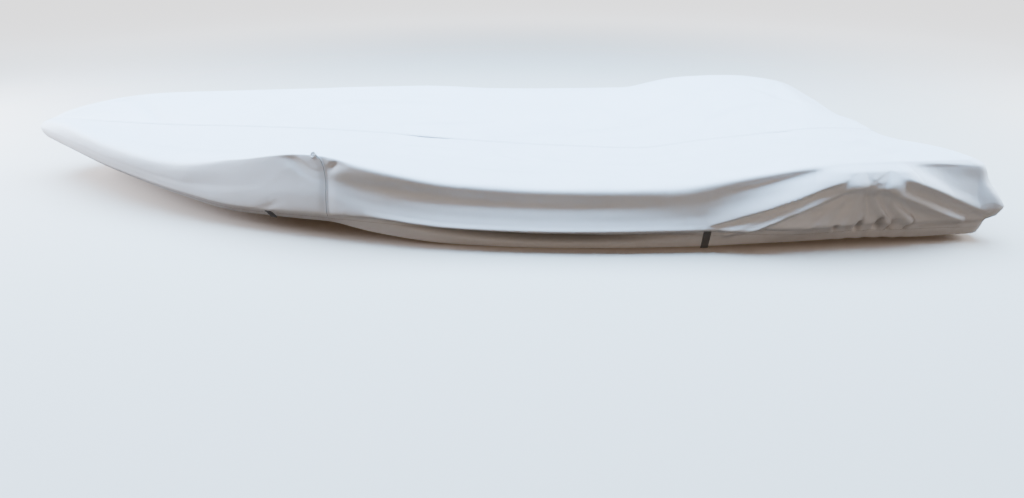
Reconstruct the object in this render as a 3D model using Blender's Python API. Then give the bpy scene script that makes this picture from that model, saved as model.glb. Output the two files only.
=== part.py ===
"""Fitted cover for a small open boat: two sewn cloth halves and four webbing loops.

Metres, +Z up. The bow points to -X and the port side to -Y. A place along the cover is
first measured as a run from the bow tip: along the side rail, round the stern corner and
then along the transom to the middle. Heights are measured from the lowest hem. The last
step centres the cover over the origin.
"""
import bpy
import numpy as np

# Plan sizes
HALF_BEAM = 0.785        # widest half-breadth, over the rail
BEAM_STATION = 2.55      # distance of the widest place from the bow
BOW_FULLNESS = 2.2       # power of the bow's plan curve
BOW_SHARPNESS = 0.85     # how straight the bow's sides run into the tip
NOSE_RADIUS = 0.06       # rounding of the bow tip
STERN_TAPER = 0.115      # share of the half-breadth lost by the stern
TAPER_POWER = 1.6
TAPER_REACH = 1.22
SIDE_END = 3.81          # run at which the stern corner starts
RAIL_CORNER = 0.050      # stern corner radius over the rail
EDGE_CORNER = 0.045      # stern corner radius at the top edge
EDGE_INSET = 0.040       # top edge inboard of the rail
EDGE_SETBACK = 0.100     # top edge ahead of the stern rail
SETBACK_START = 3.30
STERN_MIDDLE = 0.060     # middle of the stern ahead of the port corner
STERN_SLANT = {-1: 0.000, 1: 0.070}   # each stern corner ahead of the port one
RAIL_NOSE = 0.018        # bow rail behind the start of the run
EDGE_NOSE = 0.062        # top edge behind the start of the run
NOSE_REACH = 0.60

# Cloth
CLOTH = 0.002            # thickness of the coated cloth with its hem allowance
SEAM_GAP = 0.00015       # half the gap between the two halves
CINCH = 0.012            # how far the hem is drawn in below the blouse

# Webbing loops
WEBBING_WIDTH = 0.026
WEBBING = 0.0016
WEBBING_GAP = 0.0003
LOOP_RUNS = {"fore": 1.295, "aft": 2.855}
LOOP_STEPS = 2
LOOP_ROWS = (5.5, 6.1, 7.0, 8.0)
LOOP_OVERHANG = 0.006    # how far a loop reaches below the hem

# Heights above the lowest hem at distances from the bow:
# distance, port edge, centre seam, starboard edge, sag power, share of a rounded trough
STATIONS = np.array((
    (0.00, 0.244, 0.240, 0.250, 1.30, 0.00),
    (0.10, 0.268, 0.238, 0.293, 1.30, 0.00),
    (0.30, 0.280, 0.227, 0.308, 1.30, 0.00),
    (0.60, 0.250, 0.212, 0.285, 1.40, 0.00),
    (0.90, 0.228, 0.205, 0.265, 1.50, 0.00),
    (1.20, 0.262, 0.195, 0.250, 1.60, 0.00),
    (1.50, 0.305, 0.178, 0.240, 1.70, 0.00),
    (1.75, 0.262, 0.158, 0.236, 1.70, 0.00),
    (2.00, 0.213, 0.136, 0.234, 1.70, 0.00),
    (2.35, 0.200, 0.115, 0.236, 1.70, 0.00),
    (2.70, 0.226, 0.104, 0.242, 1.70, 0.00),
    (3.00, 0.276, 0.140, 0.275, 1.50, 0.30),
    (3.30, 0.298, 0.173, 0.288, 1.25, 0.60),
    (3.55, 0.290, 0.196, 0.266, 1.10, 0.85),
    (3.76, 0.284, 0.190, 0.165, 1.05, 1.00),
))

# Hem along the run: run, hem height, share of the full blouse, share of the full overhang
HEM_LINE = np.array((
    (0.00, 0.196, 0.00, 0.00),
    (0.10, 0.188, 0.00, 0.00),
    (0.30, 0.168, 0.00, 0.00),
    (0.60, 0.135, 0.00, 0.00),
    (0.90, 0.092, 0.05, 0.00),
    (1.15, 0.056, 0.30, 0.00),
    (1.50, 0.059, 0.50, 0.10),
    (1.70, 0.030, 0.85, 1.20),
    (1.95, 0.005, 0.97, 1.40),
    (2.30, 0.000, 1.00, 1.00),
    (2.80, 0.004, 1.00, 0.80),
    (3.10, 0.015, 0.60, 0.30),
    (3.45, 0.022, 0.30, 0.00),
    (3.65, 0.018, 0.45, 0.00),
    (3.80, 0.024, 0.25, 0.00),
    (3.95, 0.032, 0.40, 0.00),
    (4.22, 0.034, 0.45, 0.00),
    (4.26, 0.050, 0.40, 0.00),
    (4.33, 0.148, 0.00, 0.00),
    (4.37, 0.156, 0.00, 0.00),
    (4.53, 0.158, 0.00, 0.00),
))

# Where the side lies flat beside the dart: run, share
FLAT_STRETCH = np.array((
    (0.00, 0.00),
    (0.85, 0.00),
    (1.22, 0.90),
    (1.35, 1.00),
    (1.53, 1.00),
    (1.84, 0.00),
    (4.54, 0.00),
))

# Overhang just below the top edge
OVERHANG = 0.010
OVERHANG_DROP = 0.25     # share of the drop where the cloth hangs back furthest
OVERHANG_SPREAD = 0.12

# Skirt rows from the top edge down: share of the way out to the rail, outset past it and
# share of the drop to the hem, first at the bow, then where the cloth blouses and then on
# the flat stretch
SKIRT_ROWS = np.array((
    (0.00, 0.000, 0.00, 0.00, 0.000, 0.00, 0.00, 0.000, 0.00),
    (0.42, 0.000, 0.07, 0.42, 0.000, 0.06, 0.12, 0.000, 0.07),
    (0.78, 0.000, 0.26, 0.45, 0.000, 0.22, 0.34, 0.000, 0.22),
    (0.97, 0.000, 0.48, 0.60, 0.000, 0.39, 0.58, 0.000, 0.40),
    (1.00, 0.001, 0.64, 0.98, 0.006, 0.56, 0.80, 0.000, 0.57),
    (1.00, 0.001, 0.78, 1.00, 0.010, 0.68, 0.97, 0.000, 0.80),
    (1.00, -0.001, 0.85, 1.00, -0.010, 0.73, 1.00, -0.003, 0.865),
    (1.00, -0.006, 0.91, 1.00, -0.013, 0.79, 1.00, -0.010, 0.905),
    (1.00, -0.013, 1.00, 1.00, -0.018, 1.00, 1.00, -0.026, 1.00),
))
SKIRT_SAMPLES = (0.0, 0.4, 0.8, 1.2, 1.6, 2.0, 2.4, 2.8, 3.3, 3.8, 4.4, 5.0, 5.5, 6.1, 7.0, 8.0)
TUCK_ROW = 5.3
TOP_STEPS = 6
TOP_BIAS = 0.85          # crowds the top's rows towards the edge

# Where each column of the top meets the centre seam: run, distance from the bow
SEAM_FEET = np.array((
    (0.00, 0.17),
    (0.30, 0.40),
    (1.00, 1.02),
    (3.00, 2.95),
    (3.60, 3.28),
    (4.00, 3.42),
    (4.53, 3.57),
))

# Columns of each half: run at the end of the stretch, number of columns
FORE_LOOP_START = LOOP_RUNS["fore"] - WEBBING_WIDTH / 2
FORE_LOOP_END = LOOP_RUNS["fore"] + WEBBING_WIDTH / 2
AFT_LOOP_START = LOOP_RUNS["aft"] - WEBBING_WIDTH / 2
AFT_LOOP_END = LOOP_RUNS["aft"] + WEBBING_WIDTH / 2
PORT_COLUMNS = (
    (0.04, 2), (0.16, 2), (0.50, 4), (FORE_LOOP_START, 7), (FORE_LOOP_END, LOOP_STEPS),
    (1.43, 2), (1.67, 8), (AFT_LOOP_START, 10), (AFT_LOOP_END, LOOP_STEPS),
    (3.81, 54), (3.889, 5), (4.22, 6), (4.36, 6), (4.535, 2),
)
STARBOARD_COLUMNS = (
    (0.04, 2), (0.16, 2), (0.50, 4), (FORE_LOOP_START, 6), (FORE_LOOP_END, LOOP_STEPS),
    (AFT_LOOP_START, 13), (AFT_LOOP_END, LOOP_STEPS),
    (3.81, 30), (3.889, 5), (4.22, 6), (4.36, 6), (4.535, 2),
)

# Folds on a side: run and height of the start, the middle and the end, half-width to the
# left of the way, half-width to its right, rise
PORT_FOLDS = np.array((
    (2.84, 0.104, 3.06, 0.182, 3.31, 0.284, 0.036, 0.028, 0.027),
    (2.91, 0.062, 3.075, 0.146, 3.245, 0.232, 0.025, 0.025, -0.021),
    (2.90, 0.046, 3.13, 0.146, 3.37, 0.254, 0.030, 0.026, 0.029),
    (3.16, 0.060, 3.25, 0.112, 3.33, 0.180, 0.032, 0.036, -0.010),
    (3.37, 0.235, 3.42, 0.160, 3.50, 0.070, 0.024, 0.024, 0.010),
    (3.42, 0.276, 3.63, 0.197, 3.90, 0.098, 0.032, 0.026, 0.033),
    (3.40, 0.252, 3.575, 0.187, 3.78, 0.110, 0.022, 0.024, -0.019),
    (3.385, 0.246, 3.545, 0.163, 3.73, 0.086, 0.027, 0.024, 0.020),
    (3.48, 0.304, 3.68, 0.264, 3.87, 0.204, 0.034, 0.034, -0.018),
    (3.24, 0.264, 3.36, 0.252, 3.47, 0.253, 0.045, 0.024, 0.028),
    (3.80, 0.178, 3.85, 0.152, 3.89, 0.136, 0.050, 0.050, 0.030),
    (3.76, 0.050, 3.85, 0.036, 3.92, 0.045, 0.060, 0.060, 0.022),
    (1.555, 0.305, 1.55, 0.200, 1.53, 0.095, 0.024, 0.024, -0.006),
    (1.40, 0.312, 1.46, 0.276, 1.556, 0.254, 0.024, 0.026, -0.007),
    (1.56, 0.252, 1.595, 0.275, 1.65, 0.296, 0.022, 0.024, -0.008),
    (4.02, 0.230, 4.03, 0.150, 4.05, 0.060, 0.045, 0.045, -0.010),
    (4.15, 0.220, 4.14, 0.150, 4.12, 0.060, 0.040, 0.040, 0.009),
))
STARBOARD_FOLDS = np.array((
    (2.95, 0.100, 3.15, 0.190, 3.42, 0.270, 0.042, 0.036, 0.020),
    (3.02, 0.080, 3.22, 0.150, 3.43, 0.245, 0.034, 0.034, -0.017),
    (3.12, 0.060, 3.28, 0.110, 3.45, 0.230, 0.036, 0.034, 0.016),
    (3.40, 0.060, 3.43, 0.140, 3.46, 0.220, 0.034, 0.034, -0.013),
    (3.49, 0.240, 3.56, 0.160, 3.62, 0.070, 0.034, 0.034, 0.012),
    (3.50, 0.255, 3.64, 0.190, 3.80, 0.110, 0.034, 0.034, -0.015),
    (3.50, 0.275, 3.68, 0.215, 3.87, 0.125, 0.038, 0.034, 0.020),
    (4.00, 0.200, 4.01, 0.140, 4.02, 0.060, 0.045, 0.045, 0.009),
    (4.13, 0.190, 4.14, 0.140, 4.16, 0.060, 0.040, 0.040, -0.009),
))
FOLD_SAMPLES = 61
FOLD_APEX = 3.38         # run of the point where the quarter's folds gather
CUTOUT_START = 4.25      # run of the stern's raised hem

# Gathers where a cord draws the hem in below the stern quarter
GATHER_START = 3.28
GATHER_END = 3.64
GATHER_PITCH = 0.072
GATHER_DEPTH = 0.004
GATHER_TOP = 0.110


def smooth_line(where, table, column):
    """Read a column of a table on a smooth line that never overshoots its rows."""
    known = table[:, 0]
    values = table[:, column]
    steps = np.diff(known)
    slopes = np.diff(values) / steps
    inner = np.where(slopes[1:] * slopes[:-1] > 0.0, 2.0 / (1.0 / (slopes[1:] + 1e-12)
                     + 1.0 / (slopes[:-1] + 1e-12)), 0.0)
    tangents = np.concatenate((slopes[:1], inner, slopes[-1:]))
    place = np.clip(where, known[0], known[-1])
    row = np.clip(np.searchsorted(known, place, side="right") - 1, 0, len(steps) - 1)
    t = (place - known[row]) / steps[row]
    start = values[row] * (1 + 2 * t) * (1 - t) ** 2 + tangents[row] * steps[row] * t * (1 - t) ** 2
    end = values[row + 1] * t ** 2 * (3 - 2 * t) + tangents[row + 1] * steps[row] * t ** 2 * (t - 1)
    return start + end


def ease(where, start, end):
    """Rise smoothly from 0 at the start to 1 at the end."""
    t = np.clip((where - start) / (end - start), 0.0, 1.0)
    return t * t * (3.0 - 2.0 * t)


def half_breadth(run):
    """Half-breadth over the rail: a full bow curve with a round tip, tapered to the stern."""
    t = np.clip(run / BEAM_STATION, 0.0, 1.0)
    bow = HALF_BEAM * (1.0 - (1.0 - t) ** BOW_FULLNESS) ** BOW_SHARPNESS
    tip = 2.0 * NOSE_RADIUS * run * np.exp(-run / (2.0 * NOSE_RADIUS))
    aft = np.clip((run - BEAM_STATION) / TAPER_REACH, 0.0, None) ** TAPER_POWER
    return np.sqrt(bow ** 2 + tip) * (1.0 - STERN_TAPER * aft)


def plan_line(run, side, inset, corner, setback, nose):
    """Plan of the rail or of the top edge: distance from the bow and half-breadth."""
    slant = STERN_SLANT[side]
    side_run = np.minimum(run, SIDE_END)
    breadth = half_breadth(side_run)
    breadth = breadth - inset * (1.0 - np.exp(-breadth / max(inset, 1e-6)))
    along = side_run - (setback + slant) * ease(side_run, SETBACK_START, SIDE_END)
    along = along + nose * (1.0 - ease(side_run, 0.0, NOSE_REACH))
    stern_breadth = half_breadth(SIDE_END) - inset
    turn = np.clip((run - SIDE_END) / RAIL_CORNER, 0.0, np.pi / 2)
    along = along + corner * np.sin(turn)
    breadth = np.where(run > SIDE_END, stern_breadth - corner * (1.0 - np.cos(turn)), breadth)
    past = np.clip(run - SIDE_END - RAIL_CORNER * np.pi / 2, 0.0, None)
    flat = half_breadth(SIDE_END) - RAIL_CORNER
    share = np.clip(past / flat, 0.0, 1.0)
    breadth = breadth - share * (stern_breadth - corner)
    along = along - (STERN_MIDDLE - slant) * np.sin(share * np.pi / 2) ** 2
    return along, breadth


def top_height(along, breadth, side):
    """Height of the top: the centre seam joined to the edge by a sagging line."""
    centre = smooth_line(along, STATIONS, 2)
    edge = smooth_line(along, STATIONS, 1 if side < 0 else 3)
    power = smooth_line(along, STATIONS, 4)
    width = np.maximum(half_breadth(np.minimum(along, SIDE_END)) - EDGE_INSET, 0.03)
    trough = smooth_line(along, STATIONS, 5)
    share = np.clip(breadth / width, 0.0, 1.0)
    rise = (1.0 - trough) * share ** power + trough * ease(share, -0.12, 1.0)
    level = trough * ease(0.0, -0.12, 1.0)
    return centre + (edge - centre) * (rise - level) / (1.0 - level)


def fold_rise(run, height, folds):
    """Sum of the folds: each is a soft ridge or trough along a bent line."""
    rise = np.zeros(np.broadcast(run, height).shape)
    t = np.linspace(0.0, 1.0, FOLD_SAMPLES)
    for x0, z0, x1, z1, x2, z2, left_width, right_width, amount in folds:
        line_x = x0 * (1 - t) ** 2 + (4 * x1 - x0 - x2) * t * (1 - t) + x2 * t ** 2
        line_z = z0 * (1 - t) ** 2 + (4 * z1 - z0 - z2) * t * (1 - t) + z2 * t ** 2
        off_x = run[..., None] - line_x
        off_z = height[..., None] - line_z
        gap = np.hypot(off_x, off_z)
        nearest = np.argmin(gap, axis=-1)
        turn = np.gradient(line_x) * off_z - np.gradient(line_z) * off_x
        left = np.take_along_axis(turn, nearest[..., None], axis=-1)[..., 0] > 0.0
        distance = np.min(gap, axis=-1) / np.where(left, left_width, right_width)
        taper = np.sin(np.pi * np.clip(t, 0.004, 0.996))[nearest] ** 0.6
        rise = rise + amount * taper * np.exp(-distance ** 2)
    return rise


def gather_rise(run, height):
    """Short upright pleats in the hem below the stern quarter."""
    window = ease(run, GATHER_START, GATHER_START + GATHER_PITCH)
    window = window * (1.0 - ease(run, GATHER_END - GATHER_PITCH, GATHER_END))
    fade = 1.0 - ease(height, 0.5 * GATHER_TOP, GATHER_TOP)
    return GATHER_DEPTH * window * fade * np.sin(2.0 * np.pi * run / GATHER_PITCH)


def skirt_points(run, row, side):
    """Outer points of the skirt at the given runs (columns) and skirt rows."""
    run = run[:, None]
    edge_x, edge_y = plan_line(run, side, EDGE_INSET, EDGE_CORNER, EDGE_SETBACK, EDGE_NOSE)
    rail_x, rail_y = plan_line(run, side, 0.0, RAIL_CORNER, 0.0, RAIL_NOSE)
    way_x = rail_x - edge_x
    way_y = rail_y - edge_y
    reach = np.maximum(np.hypot(way_x, way_y), 1e-9)
    rows = np.column_stack((np.arange(len(SKIRT_ROWS)), SKIRT_ROWS))
    blouse = smooth_line(run, HEM_LINE, 2)
    flat = smooth_line(run, FLAT_STRETCH, 1)
    share, outset, drop = (
        (smooth_line(row, rows, column) * (1 - blouse)
         + smooth_line(row, rows, column + 3) * blouse) * (1 - flat)
        + smooth_line(row, rows, column + 6) * flat
        for column in (1, 2, 3)
    )
    top = top_height(edge_x, edge_y, side)
    hem = smooth_line(run, HEM_LINE, 1)
    height = top - (top - hem) * drop
    folds = PORT_FOLDS if side < 0 else STARBOARD_FOLDS
    calm = ease(drop, 0.0, 0.08) * ease(top - hem, 0.04, 0.12)
    rise = (fold_rise(run, height, folds) + gather_rise(run, height) + outset) * calm
    hang = smooth_line(run, HEM_LINE, 3)
    rise = rise - OVERHANG * hang * np.exp(-((drop - OVERHANG_DROP) / OVERHANG_SPREAD) ** 2)
    rise = rise - CINCH * blouse * ease(row, TUCK_ROW - 0.8, TUCK_ROW + 0.8) * calm
    x = edge_x + way_x * share + way_x / reach * rise
    y = edge_y + way_y * share + way_y / reach * rise
    return np.stack((x, side * y, height), axis=-1)


def top_points(run, share, side):
    """Outer points of the top from the centre seam (share 0) to the edge (share 1)."""
    run = run[:, None]
    edge_x, edge_y = plan_line(run, side, EDGE_INSET, EDGE_CORNER, EDGE_SETBACK, EDGE_NOSE)
    foot = smooth_line(run, SEAM_FEET, 1)
    x = foot + (edge_x - foot) * share
    y = edge_y * share
    return np.stack((x, side * y, top_height(x, y, side)), axis=-1)


def outward_normals(points, side):
    """Unit normals of a grid of points, pointing out of the cover."""
    along = np.gradient(points, axis=0)
    down = np.gradient(points, axis=1)
    normal = np.cross(down, along) * -side
    return normal / np.linalg.norm(normal, axis=-1, keepdims=True)


def spaced_runs(columns):
    """Runs of the columns, even within each stretch."""
    runs = [0.0]
    for end, count in columns:
        runs.extend(np.linspace(runs[-1], end, count + 1)[1:])
    return np.array(runs)


def closed_sheet(outer, inner, crossed):
    """Join an outer and an inner grid of points into one closed body.

    The squares of a crossed column are cut along the diagonal that climbs aft.
    """
    columns, rows = outer.shape[:2]
    points = np.concatenate((outer.reshape(-1, 3), inner.reshape(-1, 3)))
    index = np.arange(columns * rows).reshape(columns, rows)
    back = index + columns * rows
    faces = []
    for i in range(columns - 1):
        for j in range(rows - 1):
            a, b, c, d = index[i, j], index[i + 1, j], index[i + 1, j + 1], index[i, j + 1]
            pair = ((a, b, d), (b, c, d)) if crossed[i] else ((a, b, c), (a, c, d))
            for face in pair:
                faces.append(face)
                faces.append(tuple(v + columns * rows for v in reversed(face)))
    rim = np.concatenate((index[:, 0], index[-1, 1:], index[-2::-1, -1], index[0, -2:0:-1]))
    rim_back = rim + columns * rows
    count = len(rim)
    for k in range(count):
        n = (k + 1) % count
        faces.append((rim[n], rim[k], rim_back[k], rim_back[n]))
    return points, faces


def add_piece(name, points, faces, material):
    """Make one object from points and faces, with its faces turned outwards."""
    corners = np.array([(f[0], f[i], f[i + 1]) for f in faces for i in range(1, len(f) - 1)])
    p, q, r = points[corners[:, 0]], points[corners[:, 1]], points[corners[:, 2]]
    if np.einsum("ij,ij->i", p, np.cross(q, r)).sum() < 0.0:
        faces = [tuple(reversed(face)) for face in faces]
    mesh = bpy.data.meshes.new(name)
    mesh.from_pydata(points.tolist(), [], [tuple(int(v) for v in face) for face in faces])
    mesh.shade_smooth()
    mesh.set_sharp_from_angle(angle=np.radians(50.0))
    mesh.materials.append(material)
    piece = bpy.data.objects.new(name, mesh)
    bpy.context.collection.objects.link(piece)
    return piece


def panel(side, columns):
    """Points and faces of one cloth half, from the centre seam to the hem."""
    runs = spaced_runs(columns)
    shares = np.linspace(0.0, 1.0, TOP_STEPS + 1)[:-1] ** TOP_BIAS
    top = top_points(runs, shares[None, :], side)
    skirt = skirt_points(runs, np.array(SKIRT_SAMPLES)[None, :], side)
    outer = np.concatenate((top, skirt), axis=1)
    inner = outer - CLOTH * outward_normals(outer, side)
    for grid in (outer, inner):
        seam = side * SEAM_GAP
        grid[0, :, 1] = seam
        grid[-1, :, 1] = seam
        grid[:, 0, 1] = seam
    middles = (runs[:-1] + runs[1:]) / 2
    crossed = ((middles > AFT_LOOP_END) & (middles < FOLD_APEX)) | (middles > CUTOUT_START)
    return closed_sheet(outer, inner, crossed)


def webbing_loop(side, run):
    """Points and faces of one webbing loop, lying on the hem band and just below it."""
    spread = np.linspace(-0.5, 0.5, LOOP_STEPS + 1) * WEBBING_WIDTH
    band = skirt_points(run + spread, np.array(LOOP_ROWS)[None, :], side)
    below = band[:, -1:] - np.array((0.0, 0.0, LOOP_OVERHANG))
    band = np.concatenate((band, below), axis=1)
    outward = outward_normals(band, side)
    near = band + WEBBING_GAP * outward
    far = band + (WEBBING_GAP + WEBBING) * outward
    return closed_sheet(far, near, np.zeros(LOOP_STEPS, dtype=bool))


def cloth_material(name, colour, roughness):
    """A plain material with the piece's colour and roughness."""
    material = bpy.data.materials.new(name)
    material.use_nodes = True
    shader = material.node_tree.nodes["Principled BSDF"]
    shader.inputs["Base Color"].default_value = (*colour, 1.0)
    shader.inputs["Roughness"].default_value = roughness
    shader.inputs["Metallic"].default_value = 0.0
    material.diffuse_color = (*colour, 1.0)
    return material


def main():
    """Build the cover and centre it over the origin."""
    for item in list(bpy.data.objects):
        bpy.data.objects.remove(item, do_unlink=True)
    cloth = cloth_material("coated_cloth", (0.62, 0.66, 0.73), 0.55)
    webbing = cloth_material("grey_webbing", (0.20, 0.21, 0.23), 0.80)
    pieces = []
    for name, side, columns in (("port", -1, PORT_COLUMNS), ("starboard", 1, STARBOARD_COLUMNS)):
        pieces.append((f"panel_{name}", panel(side, columns), cloth))
        for place, run in LOOP_RUNS.items():
            pieces.append((f"loop_{name}_{place}", webbing_loop(side, run), webbing))
    every_point = np.concatenate([points for _, (points, _), _ in pieces])
    low, high = every_point.min(axis=0), every_point.max(axis=0)
    shift = np.array(((low[0] + high[0]) / 2, (low[1] + high[1]) / 2, low[2]))
    for name, (points, faces), material in pieces:
        add_piece(name, points - shift, faces, material)


main()
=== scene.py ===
"""Fitted cloth cover for a small open boat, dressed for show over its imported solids.

Metres, +Z up. The bow points to -X and the port side to -Y. A place along the cover is
first measured as a run from the bow: along the side rail, round the stern corner and then
along the transom to the middle. A place down a side is a row, from 0 at the top edge to 8
at the hem. Heights in the tables are above the lowest hem.
"""

import math

import bpy
import numpy as np
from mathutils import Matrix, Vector


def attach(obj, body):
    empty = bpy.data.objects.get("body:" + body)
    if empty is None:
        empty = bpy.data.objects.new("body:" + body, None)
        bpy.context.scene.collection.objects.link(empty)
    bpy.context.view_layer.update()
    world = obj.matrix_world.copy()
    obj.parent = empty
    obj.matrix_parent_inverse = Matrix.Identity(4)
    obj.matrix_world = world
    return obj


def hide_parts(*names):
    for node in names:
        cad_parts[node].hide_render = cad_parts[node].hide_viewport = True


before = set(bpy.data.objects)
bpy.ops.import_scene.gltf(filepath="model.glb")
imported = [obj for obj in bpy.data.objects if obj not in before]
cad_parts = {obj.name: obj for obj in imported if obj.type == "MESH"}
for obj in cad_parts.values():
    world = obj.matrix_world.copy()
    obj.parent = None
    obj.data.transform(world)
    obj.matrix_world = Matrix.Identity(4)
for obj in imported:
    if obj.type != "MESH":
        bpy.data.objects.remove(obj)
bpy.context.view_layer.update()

bl_info = {
    "name": "Fitted boat cover",
    "version": (1, 0, 0),
    "blender": (4, 5, 0),
    "location": "3D View > Sidebar > Cover",
    "description": "Builds a draped boat cover with its seams, hem and webbing loops",
    "category": "Add Mesh",
}

# ---------------------------------------------------------------------------------------
# Sizes. Those of the plan, the stations, the hem and the skirt are the solids' own, apart
# from what the notes over them say.

PORT = -1
STARBOARD = 1
BOW_START = -1.952100    # where the runs start in the part's frame
CENTRE_LINE = 0.000008
HEM_DATUM = 0.001136     # lowest hem above the part's lowest point

HALF_BEAM = 0.785
BEAM_STATION = 2.55
BOW_FULLNESS = 2.2
BOW_SHARPNESS = 0.85
NOSE_RADIUS = 0.06
STERN_TAPER = 0.115
TAPER_POWER = 1.6
TAPER_REACH = 1.22
SIDE_END = 3.81
RAIL_CORNER = 0.050
EDGE_CORNER = 0.045
EDGE_INSET = 0.040
EDGE_SETBACK = 0.100
SETBACK_START = 3.30
STERN_MIDDLE = 0.060
STERN_SLANT = {PORT: 0.000, STARBOARD: 0.070}
RAIL_NOSE = 0.018
EDGE_NOSE = 0.062
NOSE_REACH = 0.60
CINCH = 0.012
RUN_END = 4.535

# Distance, port edge, centre seam, starboard edge, sag power, share of a rounded trough.
# Beside the middle, the port edge stands higher than the solids' own, because its wide roll
# takes that height off again.
STATIONS = np.array((
    (0.00, 0.244, 0.240, 0.250, 1.30, 0.00),
    (0.10, 0.268, 0.238, 0.293, 1.30, 0.00),
    (0.30, 0.280, 0.227, 0.308, 1.30, 0.00),
    (0.60, 0.250, 0.212, 0.285, 1.40, 0.00),
    (0.90, 0.228, 0.205, 0.265, 1.50, 0.00),
    (1.20, 0.262, 0.195, 0.250, 1.60, 0.00),
    (1.50, 0.305, 0.178, 0.240, 1.70, 0.00),
    (1.75, 0.281, 0.158, 0.236, 1.70, 0.00),
    (2.00, 0.254, 0.136, 0.234, 1.70, 0.00),
    (2.35, 0.247, 0.115, 0.236, 1.70, 0.00),
    (2.70, 0.254, 0.104, 0.242, 1.70, 0.00),
    (3.00, 0.274, 0.140, 0.275, 1.50, 0.30),
    (3.30, 0.298, 0.173, 0.288, 1.25, 0.60),
    (3.55, 0.290, 0.196, 0.266, 1.10, 0.85),
    (3.76, 0.284, 0.190, 0.165, 1.05, 1.00),
))

# Run, hem height, share of the full blouse, share of the full overhang
HEM_LINE = np.array((
    (0.00, 0.196, 0.00, 0.00),
    (0.10, 0.188, 0.00, 0.00),
    (0.30, 0.168, 0.00, 0.00),
    (0.60, 0.135, 0.00, 0.00),
    (0.90, 0.092, 0.05, 0.00),
    (1.15, 0.056, 0.30, 0.00),
    (1.50, 0.059, 0.50, 0.10),
    (1.70, 0.030, 0.85, 1.20),
    (1.95, 0.005, 0.97, 2.20),
    (2.30, 0.000, 1.00, 2.00),
    (2.60, 0.002, 1.00, 1.40),
    (2.80, 0.004, 0.90, 0.40),
    (3.10, 0.015, 0.50, 0.00),
    (3.45, 0.022, 0.30, 0.00),
    (3.65, 0.018, 0.45, 0.00),
    (3.80, 0.024, 0.25, 0.00),
    (3.95, 0.032, 0.40, 0.00),
    (4.22, 0.034, 0.45, 0.00),
    (4.26, 0.050, 0.40, 0.00),
    (4.33, 0.148, 0.00, 0.00),
    (4.37, 0.156, 0.00, 0.00),
    (4.53, 0.158, 0.00, 0.00),
))
# Run, share of the flat stretch beside the dart
FLAT_STRETCH = np.array((
    (0.00, 0.00),
    (0.85, 0.00),
    (1.22, 0.90),
    (1.35, 1.00),
    (1.53, 1.00),
    (1.61, 0.45),
    (1.76, 0.00),
    (4.54, 0.00),
))
OVERHANG = 0.014
OVERHANG_DROP = 0.32     # share of the drop where the cloth hangs back furthest
OVERHANG_SPREAD = 0.12

# Row: share of the way out to the rail, outset past it and share of the drop to the hem,
# first at the bow, then where the cloth blouses, then where it lies flat beside the dart
SKIRT_ROWS = np.array((
    (0.0, 0.00, 0.000, 0.00, 0.00, 0.000, 0.00, 0.00, 0.000, 0.00),
    (1.0, 0.42, 0.000, 0.07, 0.42, 0.000, 0.06, 0.12, 0.000, 0.07),
    (2.0, 0.78, 0.000, 0.26, 0.45, 0.000, 0.22, 0.34, 0.000, 0.22),
    (3.0, 0.97, 0.000, 0.48, 0.50, 0.000, 0.49, 0.58, 0.000, 0.40),
    (4.0, 1.00, 0.001, 0.64, 0.78, 0.002, 0.605, 0.80, 0.000, 0.57),
    (5.0, 1.00, 0.001, 0.78, 1.00, 0.007, 0.68, 0.97, 0.000, 0.80),
    (6.0, 1.00, -0.001, 0.85, 1.00, -0.010, 0.74, 1.00, -0.003, 0.865),
    (7.0, 1.00, -0.006, 0.91, 1.00, -0.013, 0.79, 1.00, -0.010, 0.905),
    (8.0, 1.00, -0.013, 1.00, 1.00, -0.018, 1.00, 1.00, -0.026, 1.00),
))
LAST_ROW = 8.0
TUCK_ROW = 5.3

# Run, distance from the bow where that column meets the centre seam
SEAM_FEET = np.array((
    (0.00, 0.17),
    (0.30, 0.40),
    (1.00, 1.02),
    (3.00, 2.95),
    (3.60, 3.28),
    (4.00, 3.42),
    (4.53, 3.57),
))


def thousandths(*rows):
    """A table whose numbers are written in thousandths, so lengths are in millimetres."""
    return np.array(rows) / 1000.0


# Folds on a side: run and height of the start, the middle and the end, half-width above
# or to the right of the line, half-width below or to its left, rise
PORT_FOLDS = thousandths(
    (2840, 100, 3050, 175, 3280, 266, 34, 10, 26),
    (2910, 64, 3075, 146, 3200, 206, 10, 12, -6),
    (2900, 50, 3120, 150, 3350, 246, 50, 16, 40),
    (2840, 196, 3064, 249, 3290, 292, 12, 18, -13),
    (3450, 266, 3650, 179, 3900, 78, 36, 14, 38),
    (3440, 264, 3540, 220, 3660, 174, 60, 20, 12),
    (3460, 226, 3600, 172, 3780, 104, 10, 14, -4),
    (3400, 232, 3555, 157, 3760, 76, 50, 18, 42),
    (3480, 304, 3680, 264, 3870, 204, 34, 34, -18),
    (3180, 262, 3350, 250, 3520, 250, 55, 36, 26),
    (3270, 232, 3370, 222, 3470, 232, 30, 22, 14),
    (3050, 60, 3200, 80, 3360, 95, 75, 40, 16),
    (3500, 55, 3660, 55, 3820, 50, 45, 30, 10),
    (3790, 168, 3850, 140, 3900, 112, 55, 32, 46),
    (3760, 50, 3850, 36, 3920, 45, 60, 60, 22),
    (1555, 305, 1550, 200, 1530, 95, 20, 16, -5),
    (1400, 312, 1460, 276, 1556, 254, 16, 20, -7),
    (1560, 252, 1595, 275, 1640, 292, 14, 20, -6),
    (4020, 230, 4030, 150, 4050, 60, 45, 45, -10),
    (4150, 220, 4140, 150, 4120, 60, 40, 40, 9),
)
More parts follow.
